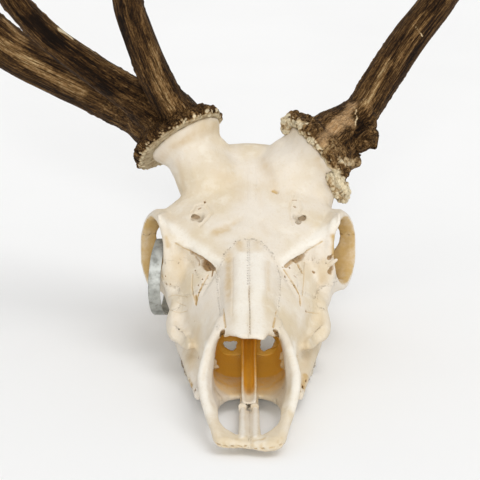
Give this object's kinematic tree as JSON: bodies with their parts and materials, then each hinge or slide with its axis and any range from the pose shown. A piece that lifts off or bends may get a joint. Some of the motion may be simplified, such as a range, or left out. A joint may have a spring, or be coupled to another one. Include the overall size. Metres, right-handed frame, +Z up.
{
  "type": "red deer skull",
  "caption": "Skull of a red deer stag without its lower jaw, with uneven antlers and a metal band in one eye socket.",
  "frame": {"origin": "middle of the foot of the whole box, on the floor that the skull rests on", "axes": "+Z up, +Y from the nose to the back of the skull, +X to the skull's left"},
  "size_m": [0.7034, 0.4284, 0.8506],
  "materials": {
    "bone": "matte",
    "antler": "satin",
    "band_metal": "satin"
  },
  "bodies": {
    "root": {"frontal_bone": "bone", "parietal_bone": "bone", "occipital_bone": "bone", "sphenoid_bone": "bone", "palatine_bone": "bone", "vomer": "bone", "nasal_bone_left": "bone", "nasal_bone_right": "bone", "premaxilla_left": "bone", "premaxilla_right": "bone", "maxilla_left": "bone", "maxilla_right": "bone", "lacrimal_bone_left": "bone", "lacrimal_bone_right": "bone", "zygomatic_bone_left": "bone", "zygomatic_bone_right": "bone", "temporal_bone_left": "bone", "temporal_bone_right": "bone", "antler_left_base": "antler", "antler_left_beam": "antler", "antler_left_crown": "antler", "antler_left_crown_tine": "antler", "antler_left_trez_tine": "antler", "antler_right_base": "antler", "antler_right_beam": "antler", "antler_right_bez_tine": "antler", "antler_right_brow_tine": "antler", "antler_right_crown": "antler", "antler_right_crown_front_tine": "antler", "antler_right_crown_inner_tine": "antler", "antler_right_trez_tine": "antler", "tag_band": "band_metal"}
  },
  "joints": []
}
